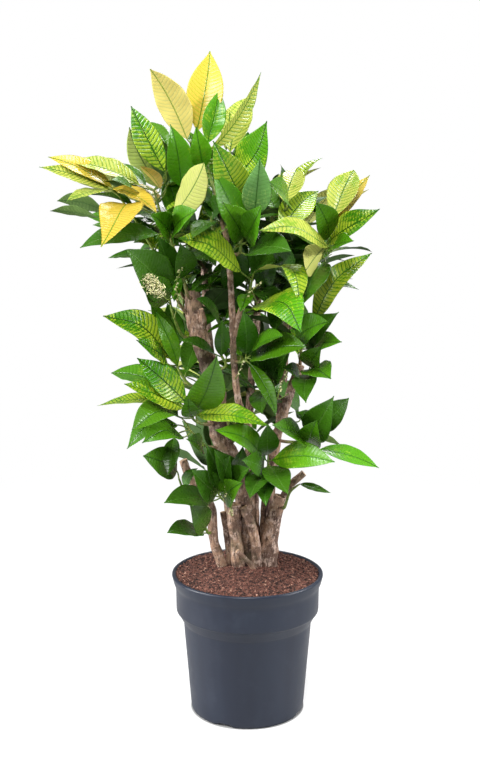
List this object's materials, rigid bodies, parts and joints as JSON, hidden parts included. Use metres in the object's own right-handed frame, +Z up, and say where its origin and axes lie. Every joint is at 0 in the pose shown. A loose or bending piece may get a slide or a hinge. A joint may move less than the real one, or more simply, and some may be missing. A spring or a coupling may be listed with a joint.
{
  "type": "potted croton",
  "caption": "Croton house plant with several woody canes and broad mottled yellow and green leaves, in a round plastic nursery pot filled with potting mix.",
  "frame": {"origin": "centre of the pot's flat underside", "axes": "+Z up along the pot's own axis, -Y towards the viewer of the front view, +X to that viewer's right"},
  "size_m": [0.5071, 0.4463, 1.0268],
  "materials": {
    "pot": "satin slate-grey moulded polypropylene",
    "soil": "rough, moist reddish-brown coir and peat",
    "bark": "rough grey-brown bark with pale pores",
    "leaf_yellow": "waxy yellow leaves with green veins",
    "leaf_green": "waxy green leaves with a yellow mottle"
  },
  "bodies": {
    "root": {"cane_back_left": "bark", "cane_back_mid": "bark", "cane_back_right": "bark", "cane_centre": "bark", "cane_front": "bark", "cane_left": "bark", "cane_main": "bark", "cane_mid": "bark", "cane_right": "bark", "cane_right_base": "bark", "cane_slim": "bark", "cane_stub": "bark", "cane_upright": "bark", "pot": "pot", "shoot_back_centre": "leaf_green", "shoot_back_centre_low": "leaf_green", "shoot_back_crown": "leaf_green", "shoot_back_front": "leaf_green", "shoot_back_hip": "leaf_green", "shoot_back_left_far": "leaf_yellow", "shoot_back_left_high": "leaf_green", "shoot_back_left_low": "leaf_green", "shoot_back_left_mid": "leaf_green", "shoot_back_low": "leaf_green", "shoot_back_mid": "leaf_green", "shoot_back_right_far": "leaf_yellow", "shoot_back_right_high": "leaf_green", "shoot_back_right_low": "leaf_green", "shoot_back_right_mid": "leaf_green", "shoot_back_waist": "leaf_green", "shoot_centre_front": "leaf_green", "shoot_centre_left": "leaf_green", "shoot_centre_low": "leaf_green", "shoot_centre_mid": "leaf_green", "shoot_centre_top": "leaf_green", "shoot_crown": "leaf_yellow", "shoot_inner_crown": "leaf_green", "shoot_inner_east": "leaf_green", "shoot_inner_left": "leaf_green", "shoot_inner_middle": "leaf_green", "shoot_inner_waist": "leaf_green", "shoot_inner_west": "leaf_green", "shoot_left_far": "leaf_yellow", "shoot_left_foot": "leaf_green", "shoot_left_high": "leaf_green", "shoot_left_hip": "leaf_green", "shoot_left_knee": "leaf_green", "shoot_left_low": "leaf_green", "shoot_left_mid": "leaf_green", "shoot_left_waist": "leaf_green", "shoot_low_centre": "leaf_green", "shoot_right_far": "leaf_yellow", "shoot_right_foot": "leaf_green", "shoot_right_fork": "leaf_green", "shoot_right_high": "leaf_green", "shoot_right_low": "leaf_green", "shoot_right_mid": "leaf_green", "shoot_trunk": "leaf_green", "soil": "soil"}
  },
  "joints": []
}
